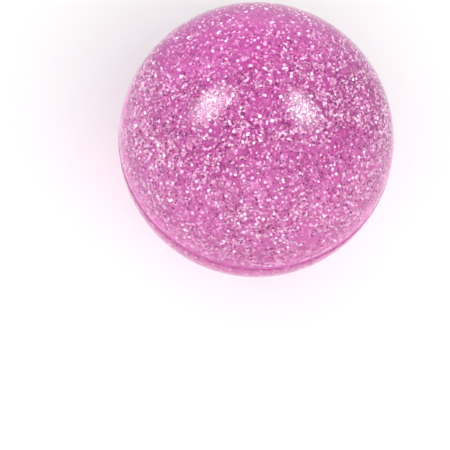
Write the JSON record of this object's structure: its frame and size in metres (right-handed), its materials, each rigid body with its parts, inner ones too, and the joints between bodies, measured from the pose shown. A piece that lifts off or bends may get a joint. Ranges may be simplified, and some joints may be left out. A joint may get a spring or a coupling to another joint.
{
  "type": "bouncy ball",
  "caption": "Solid high-bounce rubber ball: a core inside a clear glitter-filled skin of two half covers, bonded on a ring at the equator. Thrown, dropped or rolled by hand.",
  "frame": {"origin": "centre of the ball, on the seam plane", "axes": "+Z runs through the poles, square to the seam plane; X and Y lie in the seam plane"},
  "size_m": [0.049, 0.049, 0.049],
  "materials": {
    "core_rubber": "magenta rubber with a faint pearl swirl",
    "clear_rubber": "clear pink-tinted rubber, glossy as moulded",
    "seam_rubber": "deeper magenta bonding rubber, satin",
    "silver_film": "bright metallised film, hexagonal flakes",
    "rainbow_film": "iridescent film, hexagonal flakes"
  },
  "bodies": {
    "root": {"bounce_core": "core_rubber", "upper_cover": "clear_rubber", "lower_cover": "clear_rubber", "seam_ring": "seam_rubber", "upper_silver_flakes": "silver_film", "upper_rainbow_flakes": "rainbow_film", "lower_silver_flakes": "silver_film", "lower_rainbow_flakes": "rainbow_film"}
  },
  "joints": []
}
